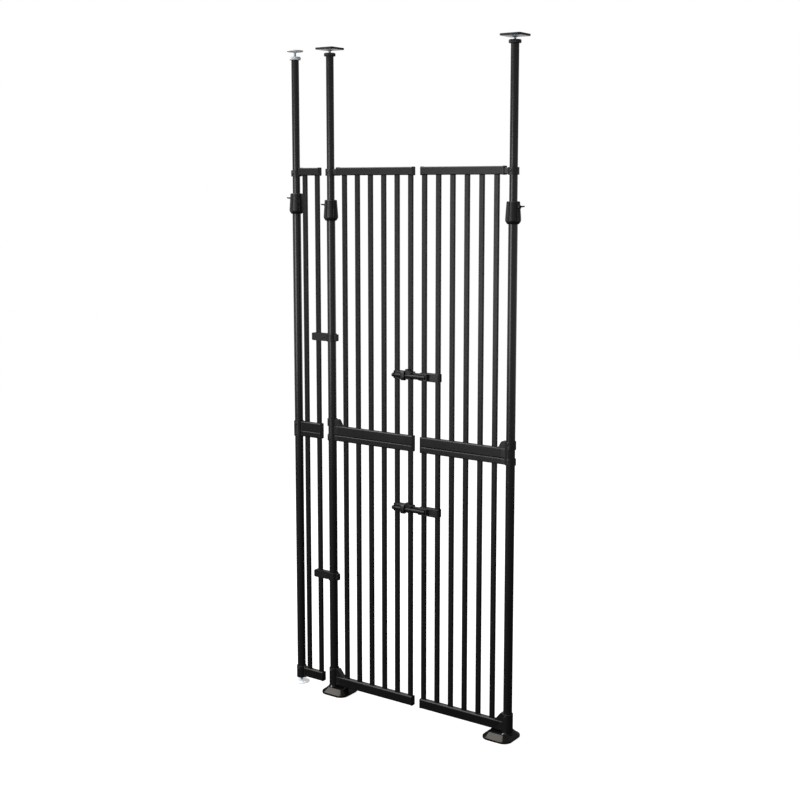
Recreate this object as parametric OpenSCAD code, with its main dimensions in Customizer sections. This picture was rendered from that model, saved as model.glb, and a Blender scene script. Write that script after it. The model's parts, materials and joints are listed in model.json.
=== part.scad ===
// Full-height pet gate: two hinged barred doors and a narrow fixed side panel on three
// telescopic tension poles that are wedged between a floor and a ceiling.
// Frame: +X runs along the gate to the right, +Y to the back, +Z up.
// The origin is on the floor under the axis of the left hinge pole.

/* [Gate] */
// Distance between the axes of the two hinge poles
gate_w = 731; // [640:1:900]
// Distance from the side pole's axis to the left hinge pole's axis
side_w = 154; // [140:1:190]
// Height from the floor to the ceiling, set by the telescopic tubes
total_h = 2300; // [2220:1:2600]
// Height of the lower panels
lower_panel_h = 928; // [840:1:1000]
// Height of the upper panels
upper_panel_h = 940; // [840:1:1000]
// Gap under the lower panels
panel_lift = 26; // [25:1:40]
// Bars in each panel of a door
door_bars = 6; // [5:1:7]
// Bars in each panel of the side section
side_bars = 2; // [2:1:3]
// Spacing of the two bars on either side of the line where the doors meet
meeting_gap = 55.5; // [50:0.5:70]

/* [Poles] */
// Outside diameter of the lower tubes
lower_tube_d = 30; // [26:0.5:34]
// Wall of the lower and upper tubes
tube_wall = 1.2; // [1:0.1:1.6]
// Radial gap between an upper tube and the lower tube it slides in
tube_gap = 0.55; // [0.4:0.05:1.2]
// Height of the top end of the two hinge poles' lower tubes
pole_h = 1752; // [1720:1:1790]
// How much higher the side pole's lower tube ends
side_pole_rise = 22; // [0:1:40]
// Length of upper tube that stays inside the lower tube at rest
tube_insert = 320; // [280:1:400]

/* [Bars and rails] */
// Width of a bar along the gate
bar_w = 17.5; // [14:0.5:20]
// Depth of a bar from front to back
bar_d = 10.5; // [8:0.5:12]
// Wall of a bar
bar_wall = 1; // [0.8:0.1:1.4]
// Distance from a hinge pole's axis to the first bar of its door
door_bar_edge = 60.3; // [58:0.1:76]
// Distance from the side pole's axis to its first bar
side_bar_edge = 39.5; // [38:0.5:48]
// Distance from the last side bar to the left hinge pole's axis
side_bar_gap = 59.4; // [52:0.1:72]
// Depth of the rails from front to back
rail_d = 20; // [18:0.5:26]
// Height of the top rails
top_rail_h = 27; // [22:0.5:34]
// Height of the bottom rails of the upper panels
sill_rail_h = 33; // [26:0.5:40]
// Height of the top rails of the lower panels
head_rail_h = 21; // [17:0.5:26]
// Height of the bottom rails of the lower panels
bottom_rail_h = 33; // [26:0.5:40]
// Wall of the rails
rail_wall = 1.2; // [1:0.1:1.6]
// Length of rail past the side of the last bar
rail_margin = 0.3; // [0.2:0.1:3]
// Thickness of the plastic cap on a rail's free end
cap_t = 1.8; // [1.2:0.1:3]
// How far a cap or a socket stands proud of its rail
cap_lip = 1; // [0.6:0.1:1.5]

/* [Hinge brackets] */
// Wall of the collars round the poles
collar_wall = 3.2; // [2.6:0.1:4.5]
// Running gap between a door's collars and its pole
hinge_gap = 0.3; // [0.2:0.05:0.5]
// Distance from a hinge pole's axis to the start of its door's top rail
top_rail_start = 35; // [33:0.5:42]
// Distance from a hinge pole's axis to the start of the door's other rails
rail_start = 30; // [29:0.5:36]
// Distance from a hinge pole's axis to the point where a bracket's web meets its rail
web_end = 46; // [42:0.5:50]
// Height of the collars on the middle brackets' upper halves
middle_collar_h = 26; // [20:1:32]
// Height of the collar on a bottom bracket
bottom_collar_h = 65; // [58:1:80]

/* [Clamps] */
// Height of a tube clamp
clamp_h = 72; // [60:1:86]
// Diameter of a clamp at its wide lower end
clamp_low_d = 51; // [47:1:60]
// Diameter of a clamp at its top
clamp_top_d = 43; // [38:1:46]
// Length of the lower tube inside its clamp
clamp_seat = 41; // [34:1:44]
// Diameter of the clamp screw's shank
clamp_screw_d = 6; // [5:0.5:8]
// Span of the flat wing on the clamp screw
wing_span = 24; // [18:1:28]
// Thickness of the wing
wing_t = 4.5; // [3.5:0.5:6]
// How far the wing stands out past its hub
wing_out = 11; // [8:0.5:14]

/* [Ceiling plates] */
// Width of the square ceiling plates
plate_w = 74; // [60:1:90]
// Thickness of the square ceiling plates
plate_t = 5.5; // [4:0.5:8]
// Diameter of the side pole's round ceiling disc
disc_d = 58; // [50:1:66]
// Thickness of the side pole's discs
disc_t = 8; // [6:0.5:10]
// Diameter of the adjusting knobs
knob_d = 40; // [36:1:46]
// Height of the adjusting knobs
knob_h = 11; // [9:0.5:14]
// Length of screw in sight between a knob and its plate
screw_show = 12; // [8:0.5:16]
// Diameter of the adjusting screws
screw_d = 9; // [7:0.5:10]
// Length of the adjusting screw hidden in the tube
screw_hidden = 48; // [40:1:60]

/* [Feet] */
// Width of the square feet
foot_w = 108; // [96:1:124]
// Height of the square feet
foot_h = 24; // [20:0.5:24]
// Radius of the foot's corners
foot_r = 30; // [22:1:36]
// How far a foot's centre is shifted in under its door
foot_shift = 24; // [16:1:28]
// Thickness of the rubber pad under a foot
pad_t = 3; // [2:0.5:4]
// Diameter of the round foot of the side pole
side_foot_d = 58; // [50:1:66]

/* [Latches] */
// Height of the upper latch
upper_latch_z = 1194; // [1100:1:1300]
// Height of the lower latch
lower_latch_z = 731; // [640:1:830]
// Height of a latch's body and keeper
latch_h = 27; // [26:0.5:34]
// Thickness of a latch body on each side of the bars
latch_t = 4; // [3:0.5:6]
// Diameter of the sliding bolt
bolt_d = 13; // [9:0.5:14]
// Length of bolt held in the keeper
bolt_bite = 30; // [26:1:30]
// Running gap round the bolt in its eyes
bolt_gap = 0.3; // [0.2:0.05:0.45]

/* [Side clips] */
// Height of the upper clip that ties the side panel to the left pole
upper_clip_z = 1301; // [1220:1:1400]
// Height of the lower clip
lower_clip_z = 432; // [340:1:520]
// Height of a clip
clip_h = 27; // [22:0.5:32]

/* [Hidden] */
$fn = 64;

// Colours
powder_black = "#26272a";
plastic_black = "#1c1c1e";
plastic_white = "#ecebe6";
zinc = "#9fb0bf";
rubber_grey = "#3a3a3c";

// Clearances shared by many pieces
fit = 0.2;
screw_fit = 0.1;
turn_gap = 0.5;
lift_gap = 1;
clasp_split = 0.3;
joint_gap = 0.3;

// Poles
tube_r = lower_tube_d / 2;
mast_r = tube_r - tube_wall - tube_gap;
side_pole_h = pole_h + side_pole_rise;
tube_floor = pad_t + 3;
side_tube_floor = panel_lift - 6;
collar_r = tube_r + collar_wall;

// Heights of the panels
joint_z = panel_lift + lower_panel_h;
panel_top_z = joint_z + upper_panel_h;
bottom_rail_top = panel_lift + bottom_rail_h;
head_rail_z = joint_z - head_rail_h;
head_rail_net = head_rail_h - joint_gap;
sill_rail_top = joint_z + sill_rail_h;
top_rail_z = panel_top_z - top_rail_h;

// Bars
half_gate = gate_w / 2;
door_pitch = (half_gate - meeting_gap / 2 - door_bar_edge) / (door_bars - 1);
door_bar_x = [for (i = [0:door_bars - 1]) door_bar_edge + i * door_pitch];
door_last_bar = door_bar_x[door_bars - 1];
door_rail_end = door_last_bar + bar_w / 2 + rail_margin;
side_pitch = (side_w - side_bar_edge - side_bar_gap) / (side_bars - 1);
side_bar_x = [for (i = [0:side_bars - 1]) side_bar_edge + i * side_pitch];
side_last_bar = side_bar_x[side_bars - 1];
side_rail_end = side_last_bar + bar_w / 2 + rail_margin;
side_rail_start = side_bar_edge - bar_w / 2 - 7;
corner_r = 2;
rail_r = 3.5;

// Tops of the poles
plate_under_z = total_h - plate_t;
knob_top_z = plate_under_z - screw_show;
mast_top_z = knob_top_z - knob_h - turn_gap;
disc_under_z = total_h - disc_t;
side_knob_top_z = disc_under_z - screw_show - 2;
side_mast_top_z = side_knob_top_z - knob_h - turn_gap;
plug_len = 18;

// Clamp screw: its height in the clamp and the radius at which its boss ends
clamp_screw_drop = 18;
clamp_screw_z = clamp_h - clamp_screw_drop;
clamp_edge_r = clamp_top_d / 2 + (clamp_low_d - clamp_top_d) / 2 * clamp_screw_drop / clamp_h;
clamp_boss_r = clamp_edge_r + 2;
clamp_boss_side_r = 7;
hub_t = 3;

// Latches: the bolt runs in front of the bars
latch_front_y = -bar_d / 2 - latch_t;
bolt_r = bolt_d / 2;
bolt_knob_r = bolt_r + 0.8;
bolt_knob_len = 11;
bolt_y = latch_front_y - turn_gap - bolt_knob_r;
latch_left_x = door_bar_x[door_bars - 2] - bar_w / 2;
latch_right_x = door_last_bar + bar_w / 2 + 4;
eye_r = bolt_r + 3.5;
eye_len = 14;
hood_len = 22;
fin_h = 16;
eye_x = latch_right_x - hood_len - eye_len - 2;
lip_t = 3.5;
lip_gap = bolt_r + bolt_gap + 0.3;
keeper_left_x = gate_w - latch_right_x;
keeper_right_x = gate_w - latch_left_x;
bolt_tip_x = keeper_left_x + bolt_bite;
bolt_tail_x = latch_left_x + 10;
tongue_gap = 3;
tongue_t = 6;
tongue_h = latch_h - 5;
eye_base_half = latch_h / 2 + 2.5;
eye_face_half = eye_base_half - 5;

// Side clips
clip_reach = 24;
clip_half_d = 9;
clip_corner_r = 5;

// Screw heads on the front of the collars, as [height above the floor]
screw_r = 3.2;
screw_head_t = 1.8;
screw_shank_r = 1.5;
screw_depth = 2.2;
land_y = -collar_r - 0.4;
button_r = 3;
door_screw_z = [
    panel_lift + bottom_collar_h - 10, head_rail_z + 6, joint_z - 5.5,
    sill_rail_top + middle_collar_h - 8, panel_top_z - 14
];
side_screw_z = [bottom_rail_top - 5, head_rail_z + 8, sill_rail_top - 9, top_rail_z + 8];
button_z = head_rail_z - 57;

// ---------- placing ----------

// The right door and pole mirror the left ones about the line where the doors meet.
module at_right() {
    translate([gate_w, 0, 0]) mirror([1, 0, 0]) children();
}

module at_side() {
    translate([-side_w, 0, 0]) children();
}

// ---------- outlines ----------

// Rectangle with round corners, centred on x and standing on y = 0
module soft_rect(w, h, r) {
    translate([-w / 2, r]) square([w, h - 2 * r]);
    translate([-w / 2 + r, 0]) square([w - 2 * r, h]);
    for (x = [-w / 2 + r, w / 2 - r], y = [r, h - r]) {
        translate([x, y]) circle(r);
    }
}

// The same rectangle as a hollow section
module soft_section(w, h, r, wall) {
    difference() {
        soft_rect(w, h, r);
        translate([0, wall]) soft_rect(w - 2 * wall, h - 2 * wall, r - wall);
    }
}

// Extrudes an outline along +X, with the outline's x as Y and its y as Z
module along_x(length) {
    rotate([90, 0, 90]) linear_extrude(length) children();
}

// ---------- poles ----------

// Lower tube, with the hole of its snap button at the height button
module lower_tube(top_z, low_z, button) {
    color(powder_black)
    difference() {
        translate([0, 0, low_z]) cylinder(r = tube_r, h = top_z - low_z);
        translate([0, 0, low_z - 1]) cylinder(r = tube_r - tube_wall, h = top_z - low_z + 2);
        front_peg(button_r + screw_fit, -tube_r - 1, button, tube_r);
    }
}

module upper_tube(low_z, top_z) {
    color(powder_black)
    difference() {
        translate([0, 0, low_z]) cylinder(r = mast_r, h = top_z - low_z);
        translate([0, 0, low_z - 1]) cylinder(r = mast_r - tube_wall, h = top_z - low_z + 2);
    }
}

// Insert of radius r in a tube's end, which guides an adjusting screw
module tube_plug(top_z, r) {
    color(plastic_black)
    difference() {
        translate([0, 0, top_z - plug_len]) cylinder(r = r, h = plug_len);
        translate([0, 0, top_z - plug_len - 1]) cylinder(d = screw_d + 2 * screw_fit, h = plug_len + 2);
    }
}

// Tapered clamp: its lower part is fixed on the lower tube, its upper part grips the upper tube.
// The screw's boss faces -X.
module tube_clamp(seat_z) {
    low_r = clamp_low_d / 2;
    top_r = clamp_top_d / 2;
    chamfer = 4;
    color(plastic_black)
    translate([0, 0, seat_z - clamp_seat])
    difference() {
        union() {
            rotate_extrude()
            polygon([
                [0, 0], [low_r - chamfer, 0], [low_r - 1, 2 * chamfer], [low_r, 4 * chamfer],
                [top_r, clamp_h - 1.5], [top_r - 1.5, clamp_h], [0, clamp_h]
            ]);
            translate([0, 0, clamp_screw_z]) rotate([0, -90, 0])
            cylinder(r = clamp_boss_side_r, h = clamp_boss_r);
        }
        translate([0, 0, -1]) cylinder(r = tube_r, h = clamp_seat + 1);
        cylinder(r = mast_r + fit, h = clamp_h + 1);
        translate([0, 0, clamp_screw_z]) rotate([0, -90, 0])
        cylinder(d = clamp_screw_d + 2 * screw_fit, h = clamp_boss_r + 1);
    }
}

// Thumb screw with a flat wing, turned about X
module clamp_screw(seat_z) {
    wing_r = 4;
    color(plastic_black)
    translate([0, 0, seat_z - clamp_seat + clamp_screw_z])
    union() {
        translate([-clamp_boss_r - turn_gap - hub_t, 0, 0]) rotate([0, 90, 0])
        cylinder(d = clamp_screw_d, h = hub_t + turn_gap + clamp_boss_r - mast_r - fit);
        translate([-clamp_boss_r - turn_gap - hub_t, 0, 0]) rotate([0, 90, 0])
        cylinder(d = clamp_screw_d + 6, h = hub_t);
        translate([-clamp_boss_r - turn_gap - 1, 0, -wing_t / 2]) rotate([0, 0, 90])
        linear_extrude(wing_t) soft_rect(wing_span, wing_out, wing_r);
    }
}

// Round knob with finger flutes, which works as the nut of the adjusting screw
module jack_knob(top_z, colour, flutes) {
    color(colour)
    translate([0, 0, top_z - knob_h])
    difference() {
        rotate_extrude()
        polygon([
            [0, 0], [knob_d / 2 - 1, 0], [knob_d / 2, 1], [knob_d / 2, knob_h - 2],
            [knob_d / 2 - 2, knob_h], [0, knob_h]
        ]);
        translate([0, 0, -1]) cylinder(d = screw_d + 2 * screw_fit, h = knob_h + 2);
        for (i = [0:flutes - 1]) {
            rotate([0, 0, (i + 0.5) * 360 / flutes]) translate([knob_d / 2 + 2.2, 0, -1])
            cylinder(r = 3.4, h = knob_h + 2, $fn = 24);
        }
    }
}

module adjusting_screw(low_z, top_z) {
    color(zinc) translate([0, 0, low_z]) cylinder(d = screw_d, h = top_z - low_z);
}

// Square ceiling plate with a shallow cone under it that holds the screw
module ceiling_plate() {
    plate_r = 7;
    dome_h = 2.5;
    color(plastic_black)
    union() {
        translate([0, -plate_w / 2, plate_under_z]) linear_extrude(plate_t)
        soft_rect(plate_w, plate_w, plate_r);
        translate([0, 0, plate_under_z - dome_h])
        difference() {
            cylinder(r1 = plate_w * 0.18, r2 = plate_w * 0.45, h = dome_h);
            translate([0, 0, -1]) cylinder(d = screw_d, h = dome_h + 1);
        }
    }
}

// Round disc from z = 0 up, with a seat for its screw on top
module round_disc(diameter) {
    edge = 1.5;
    color(plastic_white)
    difference() {
        rotate_extrude()
        polygon([
            [0, 0], [diameter / 2 - edge, 0], [diameter / 2, edge],
            [diameter / 2, disc_t - edge], [diameter / 2 - edge, disc_t], [0, disc_t]
        ]);
        translate([0, 0, disc_t / 2]) cylinder(d = screw_d, h = disc_t);
    }
}

// ---------- feet ----------

// Flared foot: a low base, sloped sides and a flat top that the pole stands in
module square_foot() {
    skirt_z = 1;
    skirt_h = 7;
    top_w = foot_w - 34;
    top_r = foot_r - 12;
    color(plastic_black)
    difference() {
        union() {
            translate([foot_shift, 0, 0])
            hull() {
                translate([0, -foot_w / 2, skirt_z]) linear_extrude(skirt_h)
                soft_rect(foot_w, foot_w, foot_r, $fn = 32);
                translate([0, -top_w / 2, foot_h - 1]) linear_extrude(1)
                soft_rect(top_w, top_w, top_r, $fn = 32);
            }
            translate([0, 0, skirt_z + skirt_h]) cylinder(r = collar_r, h = foot_h - skirt_z - skirt_h);
        }
        translate([foot_shift, 0, 0]) foot_pad_shape(fit);
        translate([0, 0, tube_floor]) cylinder(r = tube_r, h = foot_h);
    }
}

module foot_pad_shape(margin) {
    pad_w = foot_w - 22 + 2 * margin;
    translate([0, -pad_w / 2, 0]) linear_extrude(pad_t) soft_rect(pad_w, pad_w, foot_r - 10);
}

// ---------- rails, bars and caps ----------

// A rail from x0 to x1 whose underside is at z
module rail(x0, x1, z, h) {
    color(powder_black)
    translate([x0, 0, z]) along_x(x1 - x0) soft_section(rail_d, h, rail_r, rail_wall);
}

module bar_row(xs, z0, z1) {
    color(powder_black)
    for (x = xs) {
        translate([x, -bar_d / 2, z0]) linear_extrude(z1 - z0)
        soft_section(bar_w, bar_d, corner_r, bar_wall);
    }
}

module panel_bars(xs) {
    bar_row(xs, bottom_rail_top, head_rail_z);
    bar_row(xs, sill_rail_top, top_rail_z);
}

// Core of a cap or socket that goes into a rail's open end
module rail_core(h, length) {
    inset = rail_wall + fit;
    translate([0, 0, inset]) along_x(length)
    soft_rect(rail_d - 2 * inset, h - 2 * inset, rail_r - inset);
}

// Outside of a cap or socket round a rail
module rail_sleeve(h, length) {
    translate([0, 0, -cap_lip]) along_x(length)
    soft_rect(rail_d + 2 * cap_lip, h + 2 * cap_lip, rail_r + cap_lip / 2);
}

// Caps on the free ends of the top, middle and bottom rails, with the middle one joining two rails
module end_caps(x) {
    core = 10;
    color(plastic_black) {
        translate([x, 0, top_rail_z]) rail_sleeve(top_rail_h, cap_t);
        translate([x - core, 0, top_rail_z]) rail_core(top_rail_h, core + 1);
    }
    color(plastic_black) {
        translate([x, 0, head_rail_z]) rail_sleeve(head_rail_h + sill_rail_h, cap_t);
        translate([x - core, 0, head_rail_z]) rail_core(head_rail_net, core + 1);
        translate([x - core, 0, joint_z]) rail_core(sill_rail_h, core + 1);
    }
    color(plastic_black) {
        translate([x, 0, panel_lift]) rail_sleeve(bottom_rail_h, cap_t);
        translate([x - core, 0, panel_lift]) rail_core(bottom_rail_h, core + 1);
    }
}

// ---------- hinge brackets ----------

// Bore through a door's collars that turns on the pole
module pole_bore(r, z0, z1) {
    translate([0, 0, z0]) cylinder(r = r, h = z1 - z0);
}

// Collar-like socket round a rail's end at x
module rail_socket(x, z, h) {
    socket_len = 4.5;
    core = 14;
    translate([x - socket_len, 0, z]) rail_sleeve(h, socket_len);
    translate([x - 1, 0, z]) rail_core(h, core);
}

// Stub with a rail's own outline from the pole to the rail's end at x, with a core for the rail
module rail_stub(x, z, h) {
    core = 14;
    translate([0, 0, z]) along_x(x) soft_rect(rail_d, h, rail_r);
    translate([x - 1, 0, z]) rail_core(h, core);
}

// Web that stands on a rail beside a tall collar and falls from z1 to z0, in an S or straight
module curved_web(z0, z1, straight) {
    flat_x = collar_r + (straight ? 5 : 9);
    steps = 12;
    curve = [
        for (i = [0:steps - 1])
        [flat_x + (web_end - flat_x) * i / steps, z0 + (z1 - z0) * (1 + cos(180 * i / steps)) / 2]
    ];
    low = z0 - rail_r;
    foot = [[web_end, z0], [rail_start, z0], [rail_start, low], [0, low], [0, z1]];
    translate([0, rail_d / 2 - 1, 0]) rotate([90, 0, 0]) linear_extrude(rail_d - 2)
    polygon(concat(straight ? [[flat_x, z1]] : curve, foot));
}

// A round peg along Y whose front end is at y
module front_peg(r, y, z, length) {
    translate([0, y + length, z]) rotate([90, 0, 0]) cylinder(r = r, h = length);
}

// Flat lands for the screw heads on the front of a collar
module screw_lands(heights) {
    for (z = heights) {
        front_peg(screw_r + 1, land_y, z, collar_wall);
    }
}

module screw_holes(heights) {
    for (z = heights) {
        front_peg(screw_shank_r, land_y - 1, z, screw_depth + 1);
    }
}

module front_screws(heights) {
    color(zinc)
    for (z = heights) {
        front_peg(screw_r, land_y - screw_head_t, z, screw_head_t);
        front_peg(screw_shank_r, land_y - 1, z, screw_depth + 1);
    }
}

module top_bracket() {
    collar_z = top_rail_z - cap_lip;
    collar_h = top_rail_h - 3;
    heights = [door_screw_z[4]];
    color(plastic_black)
    difference() {
        union() {
            translate([0, 0, collar_z]) cylinder(r = collar_r, h = collar_h);
            translate([0, 0, top_rail_z + 1]) along_x(top_rail_start - 2)
            soft_rect(rail_d - 4, top_rail_h - 6, rail_r);
            rail_socket(top_rail_start, top_rail_z, top_rail_h);
            screw_lands(heights);
        }
        pole_bore(mast_r + hinge_gap, collar_z - 1, panel_top_z);
        screw_holes(heights);
    }
}

// Upper half: a tall saddle on the door's side of the pole with a collar on top.
// Lower half: a collar level with the lower panel's top rail.
module middle_brackets() {
    collar_top = sill_rail_top + middle_collar_h - 2;
    collar_low = collar_top - middle_collar_h;
    upper_heights = [door_screw_z[3]];
    lower_heights = [door_screw_z[1], door_screw_z[2]];
    color(plastic_black)
    difference() {
        union() {
            translate([0, 0, collar_low]) cylinder(r = collar_r, h = middle_collar_h);
            intersection() {
                translate([0, 0, joint_z + fit]) cylinder(r = collar_r - 1, h = sill_rail_h);
                translate([-2, -collar_r, joint_z]) cube([collar_r + 2, 2 * collar_r, sill_rail_h]);
            }
            curved_web(sill_rail_top, collar_top - 1, false);
            rail_stub(rail_start, joint_z, sill_rail_h);
            screw_lands(upper_heights);
        }
        pole_bore(tube_r + hinge_gap, joint_z - 1, collar_top + 1);
        screw_holes(upper_heights);
    }
    color(plastic_black)
    difference() {
        union() {
            translate([0, 0, head_rail_z]) cylinder(r = collar_r, h = head_rail_net);
            rail_stub(rail_start, head_rail_z, head_rail_net);
            screw_lands(lower_heights);
        }
        pole_bore(tube_r + hinge_gap, head_rail_z - 3, joint_z + 1);
        screw_holes(lower_heights);
    }
}

module bottom_bracket() {
    collar_z = foot_h + lift_gap;
    collar_top = panel_lift + bottom_collar_h - 3;
    heights = [door_screw_z[0]];
    color(plastic_black)
    difference() {
        union() {
            translate([0, 0, collar_z]) cylinder(r = collar_r, h = collar_top - collar_z);
            curved_web(bottom_rail_top, collar_top - 1, true);
            rail_stub(rail_start, panel_lift, bottom_rail_h);
            screw_lands(heights);
        }
        pole_bore(tube_r + hinge_gap, collar_z - 1, collar_top + 1);
        screw_holes(heights);
    }
}

// Plain fixed collar of the side panel, with a socket for each rail as [underside, height]
module side_bracket(z0, z1, pole_r, rails, heights) {
    color(plastic_black)
    difference() {
        union() {
            translate([0, 0, z0]) cylinder(r = collar_r, h = z1 - z0);
            translate([0, 0, z0 + 1]) along_x(side_rail_start - 2)
            soft_rect(rail_d - 4, z1 - z0 - 2, rail_r);
            for (r = rails) rail_socket(side_rail_start, r[0], r[1]);
            screw_lands(heights);
        }
        pole_bore(pole_r, z0 - 1, z1 + 1);
        screw_holes(heights);
    }
}

// ---------- latches ----------

// Half of a block that clasps two bars, split at the bars' centre plane
module bar_clasp(x0, x1, bars, front) {
    y0 = front ? latch_front_y : clasp_split / 2;
    difference() {
        translate([x0, y0, -latch_h / 2]) cube([x1 - x0, -latch_front_y - clasp_split / 2, latch_h]);
        for (x = bars) {
            translate([x, -bar_d / 2, -latch_h]) linear_extrude(2 * latch_h)
            soft_rect(bar_w, bar_d, corner_r);
        }
    }
}

// Upright block that the bolt slides in, with sloped front corners
module bolt_eye() {
    translate([eye_x, 0, 0]) rotate([90, 0, 90]) linear_extrude(eye_len)
    hull() {
        translate([bolt_y - eye_r, -eye_face_half]) square([1, 2 * eye_face_half]);
        translate([latch_front_y - 6, -eye_base_half]) square([6.5, 2 * eye_base_half]);
    }
}

// Flat tongue that bridges most of the gap between the doors behind the bolt
module latch_tongue() {
    translate([latch_right_x - 1, latch_front_y, -tongue_h / 2])
    cube([keeper_left_x - tongue_gap - latch_right_x + 1, tongue_t, tongue_h]);
}

// Sloped hood over the bolt and a lip under it, beside the eye
module bolt_hood() {
    x0 = latch_right_x - hood_len;
    hood_y = bolt_y - bolt_r / 2;
    depth = latch_front_y - hood_y;
    translate([x0, latch_front_y, 0]) rotate([90, 0, 0]) linear_extrude(depth)
    polygon([
        [0, lip_gap], [0, lip_gap + fin_h], [4, lip_gap + fin_h],
        [hood_len, lip_gap + lip_t], [hood_len, lip_gap]
    ]);
    translate([x0, hood_y, -lip_gap - lip_t]) cube([hood_len, depth, lip_t]);
}

module latch_body(z) {
    bars = [door_bar_x[door_bars - 2], door_last_bar];
    color(plastic_black)
    translate([0, 0, z])
    difference() {
        union() {
            bar_clasp(latch_left_x, latch_right_x, bars, true);
            bolt_eye();
            bolt_hood();
            latch_tongue();
        }
        translate([eye_x - 1, bolt_y, 0]) rotate([0, 90, 0])
        cylinder(r = bolt_r + bolt_gap, h = eye_len + 2);
    }
    color(plastic_black)
    translate([0, 0, z]) bar_clasp(latch_left_x, latch_right_x, bars, false);
}

// The keeper holds the bolt's end between two lips and is open at the front,
// so either door can swing away from the other.
module latch_keeper(z) {
    bars = [gate_w - door_last_bar, gate_w - door_bar_x[door_bars - 2]];
    lip_y = bolt_y - bolt_r * 0.6;
    color(plastic_black)
    translate([0, 0, z])
    union() {
        bar_clasp(keeper_left_x, keeper_right_x, bars, true);
        for (side = [-1, 1]) {
            translate([keeper_left_x, lip_y, side * (lip_gap + lip_t / 2) - lip_t / 2])
            cube([bolt_bite + 5, latch_front_y - lip_y, lip_t]);
        }
        translate([bolt_tip_x + 1.5, lip_y, -lip_gap]) cube([3.5, latch_front_y - lip_y, 2 * lip_gap]);
    }
    color(plastic_black)
    translate([0, 0, z]) bar_clasp(keeper_left_x, keeper_right_x, bars, false);
}

// Bolt with a round knob at its tail
module slide_bolt(z) {
    length = bolt_tip_x - bolt_tail_x;
    edge = 1.5;
    color(plastic_black)
    translate([bolt_tail_x, bolt_y, z]) rotate([0, 90, 0])
    rotate_extrude()
    polygon([
        [0, -bolt_knob_len], [bolt_knob_r - 2 * edge, -bolt_knob_len],
        [bolt_knob_r, 2 * edge - bolt_knob_len], [bolt_knob_r, -2 * edge],
        [bolt_r - edge, -edge], [bolt_r - edge, edge], [bolt_r, 2 * edge],
        [bolt_r, length - edge], [bolt_r - edge, length], [0, length]
    ]);
}

// ---------- side clips ----------

// Clip that holds the last side bar and the left hinge pole together
module side_clip(z) {
    bar_x = -side_bar_gap;
    color(plastic_black)
    translate([0, 0, z - clip_h / 2])
    difference() {
        union() {
            translate([(bar_x - clip_reach) / 2, clip_half_d, 0]) rotate([90, 0, 0])
            linear_extrude(2 * clip_half_d) soft_rect(side_bar_gap + clip_reach, clip_h, clip_corner_r);
            cylinder(r = collar_r, h = clip_h);
            translate([0, -8, 2]) cube([collar_r + 6, 16, clip_h - 4]);
        }
        translate([bar_x, -bar_d / 2, -1]) linear_extrude(clip_h + 2)
        soft_rect(bar_w, bar_d, corner_r);
        translate([0, 0, -1]) cylinder(r = tube_r, h = clip_h + 2);
    }
}

module clip_screw(z) {
    clip_screw_x = -side_bar_gap / 2;
    color(zinc) translate([clip_screw_x, -clip_half_d, z]) rotate([90, 0, 0])
    cylinder(r = screw_r, h = screw_head_t, $fn = 24);
}

// ---------- nodes ----------

module left_foot() { square_foot(); }
module right_foot() { at_right() square_foot(); }
module foot_pads() {
    color(rubber_grey) translate([foot_shift, 0, 0]) foot_pad_shape(0);
    color(rubber_grey) at_right() translate([foot_shift, 0, 0]) foot_pad_shape(0);
}
module side_foot_disc() { at_side() round_disc(side_foot_d); }
module side_foot_screw() { at_side() adjusting_screw(disc_t / 2, side_tube_floor + screw_hidden); }
module side_foot_nut() { at_side() tube_plug(side_tube_floor + plug_len, tube_r - tube_wall); }

module left_lower_tube() { lower_tube(pole_h, tube_floor, button_z); }
module right_lower_tube() { at_right() lower_tube(pole_h, tube_floor, button_z); }
module side_lower_tube() { at_side() lower_tube(side_pole_h, side_tube_floor, button_z); }
module left_clamp() { tube_clamp(pole_h); }
module right_clamp() { at_right() tube_clamp(pole_h); }
module side_clamp() { at_side() tube_clamp(side_pole_h); }
module left_clamp_screw() { clamp_screw(pole_h); }
module right_clamp_screw() { at_right() clamp_screw(pole_h); }
module side_clamp_screw() { at_side() clamp_screw(side_pole_h); }

module left_upper_tube() { upper_tube(pole_h - tube_insert, mast_top_z); }
module right_upper_tube() { at_right() left_upper_tube(); }
module side_upper_tube() { at_side() upper_tube(side_pole_h - tube_insert, side_mast_top_z); }
module left_tube_plug() { tube_plug(mast_top_z, mast_r - tube_wall); }
module right_tube_plug() { at_right() left_tube_plug(); }
module side_tube_plug() { at_side() tube_plug(side_mast_top_z, mast_r - tube_wall); }
module left_knob() { jack_knob(knob_top_z, plastic_black, 12); }
module right_knob() { at_right() left_knob(); }
module side_knob() { at_side() jack_knob(side_knob_top_z, plastic_white, 9); }
module left_ceiling_plate() { ceiling_plate(); }
module right_ceiling_plate() { at_right() ceiling_plate(); }
module side_ceiling_disc() { at_side() translate([0, 0, total_h]) mirror([0, 0, 1]) round_disc(disc_d); }
module left_plate_screw() { adjusting_screw(mast_top_z - screw_hidden, plate_under_z); }
module right_plate_screw() { at_right() left_plate_screw(); }
module side_disc_screw() { at_side() adjusting_screw(side_mast_top_z - screw_hidden, total_h - disc_t / 2); }

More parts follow.
